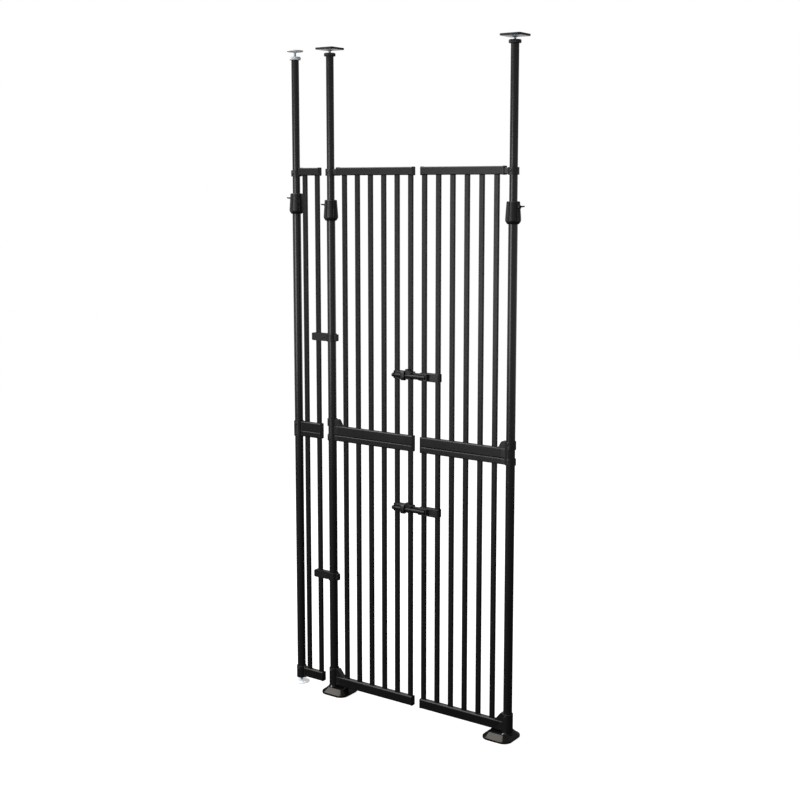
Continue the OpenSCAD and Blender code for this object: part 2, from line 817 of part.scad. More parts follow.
module side_brackets() {
    at_side() {
        side_bracket(
            side_tube_floor, bottom_rail_top + 4, tube_r, [[panel_lift, bottom_rail_h]],
            [side_screw_z[0]]
        );
        side_bracket(
            head_rail_z, sill_rail_top, tube_r,
            [[head_rail_z, head_rail_net], [joint_z, sill_rail_h]],
            [side_screw_z[1], side_screw_z[2]]
        );
        side_bracket(
            top_rail_z - 3, panel_top_z - 8, mast_r + hinge_gap, [[top_rail_z, top_rail_h]],
            [side_screw_z[3]]
        );
    }
}
module side_rail(z, h) { at_side() rail(side_rail_start, side_rail_end, z, h); }
module side_top_rail() { side_rail(top_rail_z, top_rail_h); }
module side_middle_rails() {
    side_rail(head_rail_z, head_rail_net);
    side_rail(joint_z, sill_rail_h);
}
module side_bottom_rail() { side_rail(panel_lift, bottom_rail_h); }
module side_bars() { at_side() panel_bars(side_bar_x); }
module side_rail_caps() { at_side() end_caps(side_rail_end); }
module side_clips() {
    for (z = [lower_clip_z, upper_clip_z]) side_clip(z);
}
module pole_screws() {
    at_side() front_screws(side_screw_z);
    for (z = [lower_clip_z, upper_clip_z]) clip_screw(z);
    for (x = [-side_w, 0, gate_w]) {
        color(zinc) translate([x, 0, 0]) front_peg(button_r, -tube_r - 0.8, button_z, 6);
    }
}

module left_top_bracket() { top_bracket(); }
module left_middle_brackets() { middle_brackets(); }
module left_bottom_bracket() { bottom_bracket(); }
module left_top_rail() { rail(top_rail_start, door_rail_end, top_rail_z, top_rail_h); }
module left_middle_rails() {
    rail(rail_start, door_rail_end, head_rail_z, head_rail_net);
    rail(rail_start, door_rail_end, joint_z, sill_rail_h);
}
module left_bottom_rail() { rail(rail_start, door_rail_end, panel_lift, bottom_rail_h); }
module left_bars() { panel_bars(door_bar_x); }
module left_rail_caps() { end_caps(door_rail_end); }
module left_door_screws() { front_screws(door_screw_z); }

module right_top_bracket() { at_right() top_bracket(); }
module right_middle_brackets() { at_right() middle_brackets(); }
module right_bottom_bracket() { at_right() bottom_bracket(); }
module right_top_rail() { at_right() left_top_rail(); }
module right_middle_rails() { at_right() left_middle_rails(); }
module right_bottom_rail() { at_right() left_bottom_rail(); }
module right_bars() { at_right() panel_bars(door_bar_x); }
module right_rail_caps() { at_right() end_caps(door_rail_end); }
module right_door_screws() { at_right() front_screws(door_screw_z); }

module latch_bodies() {
    for (z = [lower_latch_z, upper_latch_z]) latch_body(z);
}
module latch_keepers() {
    for (z = [lower_latch_z, upper_latch_z]) latch_keeper(z);
}
module upper_bolt() { slide_bolt(upper_latch_z); }
module lower_bolt() { slide_bolt(lower_latch_z); }

left_foot();
right_foot();
foot_pads();
side_foot_disc();
side_foot_screw();
side_foot_nut();
left_lower_tube();
right_lower_tube();
side_lower_tube();
left_clamp();
right_clamp();
side_clamp();
left_clamp_screw();
right_clamp_screw();
side_clamp_screw();
left_upper_tube();
right_upper_tube();
side_upper_tube();
left_tube_plug();
right_tube_plug();
side_tube_plug();
left_knob();
right_knob();
side_knob();
left_ceiling_plate();
right_ceiling_plate();
side_ceiling_disc();
left_plate_screw();
right_plate_screw();
side_disc_screw();
side_brackets();
side_top_rail();
side_middle_rails();
side_bottom_rail();
side_bars();
side_rail_caps();
side_clips();
pole_screws();
left_top_bracket();
left_middle_brackets();
left_bottom_bracket();
left_top_rail();
left_middle_rails();
left_bottom_rail();
left_bars();
left_rail_caps();
left_door_screws();
right_top_bracket();
right_middle_brackets();
right_bottom_bracket();
right_top_rail();
right_middle_rails();
right_bottom_rail();
right_bars();
right_rail_caps();
right_door_screws();
latch_bodies();
latch_keepers();
upper_bolt();
lower_bolt();
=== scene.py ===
import json
import math

import bmesh
import bpy
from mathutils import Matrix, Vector


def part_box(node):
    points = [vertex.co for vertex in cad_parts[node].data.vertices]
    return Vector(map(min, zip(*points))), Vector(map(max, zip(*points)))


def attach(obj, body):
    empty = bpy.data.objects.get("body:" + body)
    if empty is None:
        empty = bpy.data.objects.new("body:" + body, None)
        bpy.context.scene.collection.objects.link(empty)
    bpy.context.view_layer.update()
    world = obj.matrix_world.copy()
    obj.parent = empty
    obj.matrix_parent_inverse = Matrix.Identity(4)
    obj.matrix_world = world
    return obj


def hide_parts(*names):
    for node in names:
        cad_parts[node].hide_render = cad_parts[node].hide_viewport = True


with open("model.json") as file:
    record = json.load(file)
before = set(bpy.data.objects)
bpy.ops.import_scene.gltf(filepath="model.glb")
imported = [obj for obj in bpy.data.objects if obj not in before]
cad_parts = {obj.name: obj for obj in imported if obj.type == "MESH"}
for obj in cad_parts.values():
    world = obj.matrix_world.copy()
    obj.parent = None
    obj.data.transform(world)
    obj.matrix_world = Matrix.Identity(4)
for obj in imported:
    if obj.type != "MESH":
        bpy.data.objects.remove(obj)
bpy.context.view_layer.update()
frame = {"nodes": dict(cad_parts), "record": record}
SCENE = bpy.context.scene
RECORD = frame["record"]
NODES = frame["nodes"]

# ---------- camera ----------

CAMERA_AT = Vector((2.7917, -3.5644, 1.8312))
CAMERA_YAW = math.radians(34.81)
CAMERA_PITCH = math.radians(-7.69)
LENS = 58.02
SENSOR = 36.0
SHIFT_X = -0.006
SHIFT_Y = -0.05


def make_camera():
    data = bpy.data.cameras.new("camera")
    data.lens = LENS
    data.sensor_width = SENSOR
    data.shift_x = SHIFT_X
    data.shift_y = SHIFT_Y
    data.clip_end = 200
    cam = bpy.data.objects.new("camera", data)
    SCENE.collection.objects.link(cam)
    cam.location = CAMERA_AT
    cam.rotation_euler = (math.pi / 2 + CAMERA_PITCH, 0, CAMERA_YAW)
    SCENE.camera = cam


make_camera()

# ---------- materials ----------


class Graph:
    """Small helper to write a material's node graph in a few lines."""

    def __init__(self, name):
        self.mat = bpy.data.materials.new(name)
        self.mat.use_nodes = True
        self.tree = self.mat.node_tree
        self.tree.nodes.clear()
        self.out = self.add("ShaderNodeOutputMaterial")

    def add(self, kind, **values):
        node = self.tree.nodes.new(kind)
        for key, value in values.items():
            setattr(node, key, value)
        return node

    def link(self, a, b):
        self.tree.links.new(a, b)

    def coords(self):
        return self.add("ShaderNodeTexCoord").outputs["Object"]

    def scaled(self, vector, x, y, z):
        node = self.add("ShaderNodeMapping")
        self.link(vector, node.inputs["Vector"])
        node.inputs["Scale"].default_value = (x, y, z)
        return node.outputs["Vector"]

    def noise(self, vector, scale, detail=3.0, rough=0.55, distortion=0.0):
        node = self.add("ShaderNodeTexNoise")
        self.link(vector, node.inputs["Vector"])
        node.inputs["Scale"].default_value = scale
        node.inputs["Detail"].default_value = detail
        node.inputs["Roughness"].default_value = rough
        node.inputs["Distortion"].default_value = distortion
        return node.outputs["Fac"]

    def ramp(self, fac, low, high, a, b):
        """Maps fac from low..high to a..b, clamped."""
        node = self.add("ShaderNodeMapRange")
        self.link(fac, node.inputs["Value"])
        node.inputs["From Min"].default_value = low
        node.inputs["From Max"].default_value = high
        node.inputs["To Min"].default_value = a
        node.inputs["To Max"].default_value = b
        return node.outputs["Result"]

    def math(self, op, a, b):
        node = self.add("ShaderNodeMath", operation=op)
        for socket, value in zip(node.inputs, (a, b)):
            if isinstance(value, (int, float)):
                socket.default_value = value
            else:
                self.link(value, socket)
        return node.outputs["Value"]

    def mix(self, fac, a, b):
        node = self.add("ShaderNodeMix", data_type="RGBA")
        self.link(fac, node.inputs["Factor"])
        for socket, value in ((node.inputs[6], a), (node.inputs[7], b)):
            if isinstance(value, tuple):
                socket.default_value = (*value, 1.0)
            else:
                self.link(value, socket)
        return node.outputs[2]

    def edges(self, radius):
        """0 on flat faces, rising towards 1 on edges within radius metres."""
        geo = self.add("ShaderNodeNewGeometry")
        bevel = self.add("ShaderNodeBevel", samples=4)
        bevel.inputs["Radius"].default_value = radius
        dot = self.add("ShaderNodeVectorMath", operation="DOT_PRODUCT")
        self.link(bevel.outputs["Normal"], dot.inputs[0])
        self.link(geo.outputs["Normal"], dot.inputs[1])
        return self.ramp(dot.outputs["Value"], 0.995, 0.8, 0.0, 1.0)

    def bump(self, height, strength, distance, normal=None):
        node = self.add("ShaderNodeBump")
        self.link(height, node.inputs["Height"])
        node.inputs["Strength"].default_value = strength
        node.inputs["Distance"].default_value = distance
        if normal is not None:
            self.link(normal, node.inputs["Normal"])
        return node.outputs["Normal"]

    def painted_top_light(self, base, tone, amount, spread):
        """Painted highlight: faces that look up are mixed towards a lighter tone as if lit from above, more where
        the noise is high.
        """
        split = self.add("ShaderNodeSeparateXYZ")
        self.link(self.add("ShaderNodeNewGeometry").outputs["Normal"], split.inputs[0])
        up = self.ramp(split.outputs["Z"], 0.22, 0.75, 0.0, amount)
        return self.mix(self.math("MULTIPLY", up, self.ramp(spread, 0.25, 0.7, 0.65, 1.0)), base, tone)

    def round_normal(self, radius):
        bevel = self.add("ShaderNodeBevel", samples=4)
        bevel.inputs["Radius"].default_value = radius
        return bevel.outputs["Normal"]

    def shader(self, color, rough, normal, **uniform):
        bsdf = self.add("ShaderNodeBsdfPrincipled")
        self.link(color, bsdf.inputs["Base Color"])
        self.link(rough, bsdf.inputs["Roughness"])
        self.link(normal, bsdf.inputs["Normal"])
        for key, value in uniform.items():
            bsdf.inputs[key.replace("_", " ")].default_value = value
        self.link(bsdf.outputs["BSDF"], self.out.inputs["Surface"])
        return self.mat


def powder_coat():
    g = Graph("powder_coat")
    p = g.coords()
    patches = g.noise(p, 9.0, 3.0)
    speckle = g.noise(p, 900.0, 2.0)
    peel = g.noise(p, 480.0, 2.0, 0.5)
    edge = g.edges(0.0009)
    base = g.mix(patches, (0.0042, 0.0043, 0.0046), (0.0072, 0.0073, 0.0077))
    fine = g.mix(g.ramp(speckle, 0.35, 0.7, 0.0, 0.35), base, (0.0120, 0.0121, 0.0126))
    surface_color = g.mix(g.math("MULTIPLY", edge, g.ramp(g.noise(p, 60.0, 4.0), 0.42, 0.7, 0.1, 0.75)), fine,
        (0.022, 0.022, 0.023))
    # Painted highlight: up-facing faces are lightened towards a pale tone.
    surface_color = g.painted_top_light(surface_color, (0.115, 0.108, 0.098), 0.8, g.noise(p, 35.0, 4.0, 0.6))
    rough = g.math("ADD", g.ramp(patches, 0.3, 0.7, 0.30, 0.37), g.ramp(speckle, 0.3, 0.7, 0.0, 0.07))
    normal = g.bump(peel, 0.16, 0.0004, g.round_normal(0.0006))
    return g.shader(surface_color, rough, normal, Specular_IOR_Level=0.34)


def tube_coat():
    """Poles: the same paint as the rails, smoother on the drawn tube."""
    g = Graph("tube_coat")
    p = g.coords()
    patches = g.noise(p, 7.0, 3.0)
    speckle = g.noise(p, 800.0, 2.0)
    drawn = g.noise(g.scaled(p, 500.0, 500.0, 6.0), 1.0, 3.0)
    base = g.mix(patches, (0.0084, 0.0085, 0.0090), (0.0124, 0.0125, 0.0132))
    fine = g.mix(g.ramp(speckle, 0.4, 0.7, 0.0, 0.4), base, (0.015, 0.015, 0.016))
    rough = g.math("ADD", g.ramp(patches, 0.3, 0.7, 0.20, 0.25), g.ramp(speckle, 0.3, 0.7, 0.0, 0.04))
    normal = g.bump(speckle, 0.10, 0.0003, g.bump(drawn, 0.05, 0.0003, g.round_normal(0.0005)))
    return g.shader(fine, rough, normal, Specular_IOR_Level=0.5)


def black_plastic():
    g = Graph("black_plastic")
    p = g.coords()
    cloud = g.noise(p, 22.0, 4.0)
    grain = g.noise(p, 1500.0, 2.0, 0.6)
    edge = g.edges(0.0011)
    base = g.mix(cloud, (0.0048, 0.0048, 0.0051), (0.0085, 0.0085, 0.0089))
    surface_color = g.mix(g.math("MULTIPLY", edge, g.ramp(g.noise(p, 90.0, 4.0), 0.4, 0.7, 0.15, 0.9)), base,
        (0.018, 0.018, 0.019))
    rough = g.math("ADD", g.ramp(cloud, 0.3, 0.7, 0.32, 0.40), g.ramp(grain, 0.3, 0.7, 0.0, 0.08))
    # Painted highlight: up-facing faces are lightened towards a pale tone.
    surface_color = g.painted_top_light(surface_color, (0.080, 0.076, 0.070), 0.6, g.noise(p, 45.0, 4.0, 0.6))
    leather = g.noise(p, 420.0, 3.0, 0.6)
    fine = g.bump(grain, 0.14, 0.00025, g.round_normal(0.0009))
    normal = g.bump(leather, 0.22, 0.0005, fine)
    return g.shader(surface_color, rough, normal, Specular_IOR_Level=0.5)


def gloss_plastic():
    g = Graph("gloss_plastic")
    p = g.coords()
    cloud = g.noise(p, 14.0, 4.0)
    dust = g.noise(p, 420.0, 5.0, 0.7)
    scuff = g.noise(g.scaled(p, 26.0, 180.0, 60.0), 3.0, 4.0, 0.6, 0.6)
    base = g.mix(cloud, (0.0030, 0.0030, 0.0033), (0.0060, 0.0060, 0.0064))
    dusty = g.mix(g.ramp(dust, 0.62, 0.8, 0.0, 0.15), base, (0.03, 0.03, 0.03))
    rough = g.math("ADD", g.ramp(cloud, 0.3, 0.7, 0.13, 0.19), g.ramp(scuff, 0.55, 0.75, 0.0, 0.12))
    normal = g.bump(g.noise(p, 120.0, 2.0), 0.05, 0.0006, g.round_normal(0.0012))
    return g.shader(dusty, rough, normal, Specular_IOR_Level=0.42, Specular_Tint=(1.0, 0.93, 0.84, 1.0))


def plate_plastic():
    """Ceiling plates: smooth black moulding; the pale colour on their underside is a painted reflection, from its
    own material.
    """
    g = Graph("plate_plastic")
    p = g.coords()
    cloud = g.noise(p, 30.0, 4.0)
    grain = g.noise(p, 900.0, 2.0)
    base = g.mix(cloud, (0.0050, 0.0050, 0.0054), (0.0085, 0.0085, 0.0090))
    rough = g.ramp(cloud, 0.3, 0.7, 0.24, 0.33)
    normal = g.bump(grain, 0.05, 0.0002, g.round_normal(0.0008))
    return g.shader(base, rough, normal, Specular_IOR_Level=0.5)


def painted_reflection():
    """Pale satin colour for the underside of the ceiling plates: a painted reflection of the bright surroundings,
    with darker streaks.
    """
    g = Graph("painted_reflection")
    p = g.coords()
    cloud = g.noise(p, 45.0, 4.0)
    fibre = g.noise(g.scaled(p, 300.0, 90.0, 300.0), 2.0, 4.0, 0.6)
    base = g.mix(cloud, (0.70, 0.71, 0.72), (0.78, 0.79, 0.80))
    mottled = g.mix(g.ramp(fibre, 0.5, 0.75, 0.0, 0.5), base, (0.60, 0.60, 0.60))
    rough = g.ramp(cloud, 0.3, 0.7, 0.10, 0.18)
    normal = g.bump(fibre, 0.02, 0.0001, g.round_normal(0.0004))
    return g.shader(mottled, rough, normal, Specular_IOR_Level=0.5)


def bolt_plastic():
    """Sliding bolts: polished by use along their length."""
    g = Graph("bolt_plastic")
    p = g.coords()
    streak = g.noise(g.scaled(p, 18.0, 420.0, 420.0), 1.0, 4.0, 0.6)
    cloud = g.noise(p, 40.0, 3.0)
    base = g.mix(cloud, (0.0060, 0.0060, 0.0064), (0.0105, 0.0105, 0.0110))
    rubbed = g.mix(g.ramp(streak, 0.5, 0.75, 0.0, 0.6), base, (0.022, 0.022, 0.022))
    rough = g.math("ADD", g.ramp(cloud, 0.3, 0.7, 0.24, 0.30), g.ramp(streak, 0.4, 0.7, 0.0, 0.10))
    normal = g.bump(streak, 0.06, 0.0002, g.round_normal(0.0008))
    return g.shader(rubbed, rough, normal, Specular_IOR_Level=0.32)


def white_plastic():
    g = Graph("white_plastic")
    p = g.coords()
    cloud = g.noise(p, 25.0, 4.0)
    grain = g.noise(p, 1200.0, 2.0)
    base = g.mix(cloud, (0.66, 0.66, 0.65), (0.74, 0.74, 0.73))
    mottled = g.mix(g.ramp(g.noise(p, 130.0, 4.0), 0.5, 0.8, 0.0, 0.3), base, (0.58, 0.57, 0.55))
    rough = g.ramp(cloud, 0.3, 0.7, 0.28, 0.38)
    normal = g.bump(grain, 0.05, 0.0002, g.round_normal(0.0009))
    return g.shader(mottled, rough, normal, Specular_IOR_Level=0.4)


def glowing_white_plastic():
    """Side pole's foot disc: white plastic with a painted glow, a weak emission of its own that makes it look
    lighter.
    """
    g = Graph("glowing_white_plastic")
    p = g.coords()
    cloud = g.noise(p, 60.0, 4.0)
    base = g.mix(cloud, (0.80, 0.81, 0.82), (0.90, 0.90, 0.90))
    rough = g.ramp(cloud, 0.3, 0.7, 0.25, 0.40)
    normal = g.bump(g.noise(p, 900.0, 2.0), 0.05, 0.0002, g.round_normal(0.0009))
    # The emission here is painted light: the disc glows a little though it is no lamp.
    return g.shader(
        base, rough, normal, Specular_IOR_Level=0.5, Emission_Color=(0.95, 0.97, 1.0, 1.0),
        Emission_Strength=0.33
    )


def zinc_screw():
    g = Graph("zinc_screw")
    p = g.coords()
    cloud = g.noise(p, 160.0, 4.0, 0.6, 0.8)
    turned = g.noise(g.scaled(p, 60.0, 60.0, 2600.0), 1.0, 2.0)
    base = g.mix(cloud, (0.42, 0.62, 0.80), (0.60, 0.76, 0.88))
    tinted = g.mix(g.ramp(g.noise(p, 60.0, 2.0), 0.5, 0.8, 0.0, 0.35), base, (0.62, 0.66, 0.66))
    rough = g.math("ADD", g.ramp(cloud, 0.3, 0.7, 0.20, 0.34), g.ramp(turned, 0.3, 0.7, 0.0, 0.08))
    normal = g.bump(turned, 0.08, 0.0001, g.round_normal(0.0003))
    return g.shader(tinted, rough, normal, Metallic=1.0)


def black_screw():
    g = Graph("black_screw")
    p = g.coords()
    cloud = g.noise(p, 200.0, 4.0)
    edge = g.edges(0.0004)
    base = g.mix(cloud, (0.030, 0.031, 0.034), (0.055, 0.056, 0.060))
    surface_color = g.mix(g.math("MULTIPLY", edge, g.ramp(cloud, 0.4, 0.7, 0.2, 1.0)), base, (0.24, 0.25, 0.27))
    rough = g.ramp(cloud, 0.3, 0.7, 0.26, 0.40)
    normal = g.bump(g.noise(p, 900.0, 2.0), 0.08, 0.0002, g.round_normal(0.0003))
    return g.shader(surface_color, rough, normal, Metallic=0.75)


def steel_screw():
    """Bright screw that holds each foot to its pole."""
    g = Graph("steel_screw")
    p = g.coords()
    cloud = g.noise(p, 220.0, 4.0, 0.6)
    base = g.mix(cloud, (0.62, 0.59, 0.54), (0.80, 0.77, 0.72))
    rough = g.ramp(cloud, 0.3, 0.7, 0.18, 0.30)
    normal = g.bump(g.noise(p, 1400.0, 2.0), 0.08, 0.0002, g.round_normal(0.0003))
    return g.shader(base, rough, normal, Metallic=0.8)


def matte_plastic():
    """Wings of the thumb screws: dull glass-filled plastic."""
    g = Graph("matte_plastic")
    p = g.coords()
    cloud = g.noise(p, 60.0, 4.0)
    grain = g.noise(p, 1300.0, 2.0, 0.6)
    base = g.mix(cloud, (0.0030, 0.0030, 0.0032), (0.0065, 0.0065, 0.0068))
    fibres = g.mix(g.ramp(grain, 0.55, 0.8, 0.0, 0.4), base, (0.016, 0.016, 0.016))
    rough = g.ramp(cloud, 0.3, 0.7, 0.70, 0.85)
    normal = g.bump(grain, 0.25, 0.0003, g.round_normal(0.0008))
    return g.shader(fibres, rough, normal, Specular_IOR_Level=0.12)


def rubber_pad():
    g = Graph("rubber_pad")
    p = g.coords()
    cloud = g.noise(p, 45.0, 4.0)
    pores = g.noise(p, 1400.0, 3.0, 0.7)
    base = g.mix(cloud, (0.014, 0.014, 0.014), (0.028, 0.028, 0.028))
    dusty = g.mix(g.ramp(pores, 0.55, 0.8, 0.0, 0.3), base, (0.07, 0.07, 0.068))
    rough = g.ramp(cloud, 0.3, 0.7, 0.72, 0.88)
    normal = g.bump(pores, 0.3, 0.0003)
    return g.shader(dusty, rough, normal, Specular_IOR_Level=0.35)


MATERIALS = {
    "powder_coat": powder_coat(),
    "tube_coat": tube_coat(),
    "black_plastic": black_plastic(),
    "gloss_plastic": gloss_plastic(),
    "plate_plastic": plate_plastic(),
    "painted_reflection": painted_reflection(),
    "bolt_plastic": bolt_plastic(),
    "white_plastic": white_plastic(),
    "glowing_white_plastic": glowing_white_plastic(),
    "zinc_screw": zinc_screw(),
    "black_screw": black_screw(),
    "steel_screw": steel_screw(),
    "matte_plastic": matte_plastic(),
    "rubber_pad": rubber_pad(),
}
SLOT_OF = {s["node"]: s["material_slot"] for s in RECORD["subparts"]}

# Small black screws stay black in the photograph's light, the adjusting screws are bright zinc
SMALL_SCREWS = ("pole_screws", "left_door_screws", "right_door_screws")


def paint(node, name):
    obj = NODES[node]
    if not obj.material_slots:
        obj.data.materials.append(None)
    for s in obj.material_slots:
        s.material = MATERIALS[name]


for node in NODES:
    if node in SMALL_SCREWS:
        paint(node, "black_screw")
    else:
        paint(node, "tube_coat" if node.endswith("_tube") else SLOT_OF[node])

# ---------- mesh helpers ----------

MM = 0.001
GATE_W = (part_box("right_lower_tube")[0].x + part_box("right_lower_tube")[1].x) / 2
SIDE_X = (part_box("side_lower_tube")[0].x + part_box("side_lower_tube")[1].x) / 2
TUBE_R = (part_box("left_lower_tube")[1].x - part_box("left_lower_tube")[0].x) / 2
MAST_R = (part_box("left_upper_tube")[1].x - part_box("left_upper_tube")[0].x) / 2
SHARP = math.radians(38)


def finish_piece(name, bm, material, body, nodes=(), bevel=0.0, levels=0):
    """Turns a bmesh into a shaded object that rides on a body and stands for CAD nodes."""
    bmesh.ops.remove_doubles(bm, verts=bm.verts, dist=1e-6)
    bmesh.ops.recalc_face_normals(bm, faces=bm.faces)
    for face in bm.faces:
        face.smooth = True
    for edge in bm.edges:
        edge.smooth = len(edge.link_faces) != 2 or edge.calc_face_angle() < SHARP
    mesh = bpy.data.meshes.new(name)
    bm.to_mesh(mesh)
    bm.free()
    obj = bpy.data.objects.new(name, mesh)
    SCENE.collection.objects.link(obj)
    mesh.materials.append(MATERIALS[material])
    if bevel:
        mod = obj.modifiers.new("bevel", "BEVEL")
        mod.width = bevel
        mod.segments = 3
        mod.limit_method = "ANGLE"
        mod.angle_limit = math.radians(32)
        mod.use_clamp_overlap = True
        mod.harden_normals = True
        for face in mesh.polygons:
            face.use_smooth = True
        for edge in mesh.edges:
            edge.use_edge_sharp = False
    if levels:
        mod = obj.modifiers.new("smooth", "SUBSURF")
        mod.levels = levels
        mod.render_levels = levels
    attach(obj, body)
    if nodes:
        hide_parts(*nodes)
    return obj


def fillet(points, cut, steps=4, closed=True):
    """Rounds the corners of an outline; cut is how far from the corner each curve starts."""
    out = []
    n = len(points)
    for i, (px, py) in enumerate(points):
        if not closed and i in (0, n - 1):
            out.append((px, py))
            continue
        (ax, ay), (bx, by) = points[i - 1], points[(i + 1) % n]
        la, lb = math.hypot(ax - px, ay - py), math.hypot(bx - px, by - py)
        c = min(cut, 0.45 * la, 0.45 * lb)
        sx, sy = px + (ax - px) * c / la, py + (ay - py) * c / la
        ex, ey = px + (bx - px) * c / lb, py + (by - py) * c / lb
        for k in range(steps + 1):
            t = k / steps
            out.append((
                (1 - t) ** 2 * sx + 2 * t * (1 - t) * px + t * t * ex,
                (1 - t) ** 2 * sy + 2 * t * (1 - t) * py + t * t * ey,
            ))
    return out


def skin(bm, rings, closed_loft=False, caps=True):
    """Joins rings of points with quads; the first and last rings are capped unless the loft closes."""
    made = [[bm.verts.new(p) for p in ring] for ring in rings]
    pairs = list(zip(made, made[1:]))
    if closed_loft:
        pairs.append((made[-1], made[0]))
    for a, b in pairs:
        n = len(a)
        for i in range(n):
            j = (i + 1) % n
            bm.faces.new((a[i], a[j], b[j], b[i]))
    if caps and not closed_loft:
        bm.faces.new(made[0])
        bm.faces.new(made[-1])
    return made


def lathe(bm, profile, n=48, axis="Z", at=(0, 0, 0), radial=None, closed=False):
    """Revolves (radius, height) points round an axis. radial(angle, height) scales the radius by adding to it."""
    at = Vector(at)
    rings = []
    for r, h in profile:
        ring = []
        for i in range(n):
            a = 2 * math.pi * i / n
            rr = max(r, 1e-5) + (radial(a, h, r) if radial else 0.0)
            u, v = rr * math.cos(a), rr * math.sin(a)
            offset = {"Z": (u, v, h), "X": (h, u, v), "Y": (u, h, v)}[axis]
            ring.append(at + Vector(offset))
        rings.append(ring)
    skin(bm, rings, closed_loft=closed)


def soft_square(half, r, n=6):
    """Points of a square with round corners, in the same order whatever its size."""
    r = min(r, half)
    c = half - r
    out = []
    for sx, sy, a0 in ((1, 1, 0), (-1, 1, 90), (-1, -1, 180), (1, -1, 270)):
        for k in range(n + 1):
            a = math.radians(a0 + 90 * k / n)
            out.append((sx * c + r * math.cos(a), sy * c + r * math.sin(a)))
    return out


def prism(bm, outline, axis, a, b):
    """Extrudes an outline from a to b along an axis. The outline is (X, Z) for Y, (Y, Z) for X, (X, Y) for Z."""
    def place(p, d):
        return {"Y": (p[0], d, p[1]), "X": (d, p[0], p[1]), "Z": (p[0], p[1], d)}[axis]
    skin(bm, [[place(p, a) for p in outline], [place(p, b) for p in outline]])


def block(bm, x0, x1, y0, y1, z0, z1):
    prism(bm, [(x0, y0), (x1, y0), (x1, y1), (x0, y1)], "Z", z0, z1)


def mirror_x(bm, centre):
    """Mirrors a whole bmesh about a plane of constant X."""
    for v in bm.verts:
        v.co.x = 2 * centre - v.co.x
    bmesh.ops.reverse_faces(bm, faces=bm.faces)


def parts_of(node, gap=0.0006):
    """Boxes of the separate solids in a CAD node, from its mesh."""
    mesh = NODES[node].data
    parent = list(range(len(mesh.vertices)))

    def root(i):
        while parent[i] != i:
            parent[i] = parent[parent[i]]
            i = parent[i]
        return i

    for poly in mesh.polygons:
        first = root(poly.vertices[0])
        for v in poly.vertices[1:]:
            parent[root(v)] = first
    boxes = {}
    for v in mesh.vertices:
        k = root(v.index)
        lo, hi = boxes.get(k, (v.co.copy(), v.co.copy()))
        boxes[k] = (Vector(map(min, lo, v.co)), Vector(map(max, hi, v.co)))
    todo, out = list(boxes.values()), []
    while todo:
        lo, hi = todo.pop()
        grown = True
        while grown:
            grown = False
            for other in list(todo):
                if all(other[0][k] <= hi[k] + gap and other[1][k] >= lo[k] - gap for k in range(3)):
                    todo.remove(other)
                    lo, hi = Vector(map(min, lo, other[0])), Vector(map(max, hi, other[1]))
                    grown = True
        out.append((lo, hi))
    return sorted(out, key=lambda b: (round(b[0].x, 3), b[0].z))


# ---------- feet ----------

FOOT_LO, FOOT_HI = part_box("left_foot")
FOOT_HALF = (FOOT_HI.y - FOOT_LO.y) / 2
FOOT_X = (FOOT_HI.x + FOOT_LO.x) / 2
FOOT_TOP = FOOT_HI.z
FOOT_CORNER = 30 * MM


def make_foot(side):
    """Flared foot: skirt, hollowed slopes, a rim and a sunk plateau, with the pole's socket in it."""
    levels = (
        (10.6, 2.9), (10.2, 1.0), (1.6, 1.0), (0.5, 1.5), (0.0, 2.6), (0.0, 7.2), (0.4, 8.3), (1.4, 9.2),
        (2.6, 9.9), (6.0, 12.2), (10.0, 15.3), (14.0, 18.7), (17.0, 21.5), (18.6, 23.0), (19.6, 23.6),
        (20.6, 23.8), (21.8, 23.6), (22.8, 23.0), (24.0, 22.8), (34.0, 22.9), (48.0, 23.1),
    )
    bm = bmesh.new()
    rings = []
    for inset, z in levels:
        half = FOOT_HALF - inset * MM
        corner = max(FOOT_CORNER - inset * MM * 0.75, half * 0.4)
        rings.append([(FOOT_X + x, y, z * MM) for x, y in soft_square(half, corner, 10)])
    skin(bm, rings)
    wall = TUBE_R + 3.2 * MM
    lathe(bm, fillet([
        (TUBE_R + 0.1 * MM, 20 * MM), (wall + 2.6 * MM, 20 * MM), (wall + 0.6 * MM, 22.9 * MM),
        (wall, FOOT_TOP), (TUBE_R + 0.1 * MM, FOOT_TOP),
    ], 0.6 * MM, 3), 64, closed=True)
    screws = bmesh.new()
    x, y = 4 * MM, -24 * MM
    lathe(bm, [(1e-5, 22.0 * MM), (5.4 * MM, 22.0 * MM), (5.1 * MM, 23.0 * MM), (4.6 * MM, 23.2 * MM),
        (1e-5, 23.2 * MM)],
          24, at=(x, y, 0))
    pan_head(screws, (x, y, 22.8 * MM), "Z", 4.0 * MM, 1.5 * MM, 1)
    if side == "right":
        mirror_x(bm, GATE_W / 2)
        mirror_x(screws, GATE_W / 2)
    finish_piece(side + "_foot_shell", bm, "gloss_plastic", "frame", (side + "_foot",))
    finish_piece(side + "_foot_top_screw", screws, "steel_screw", "frame")


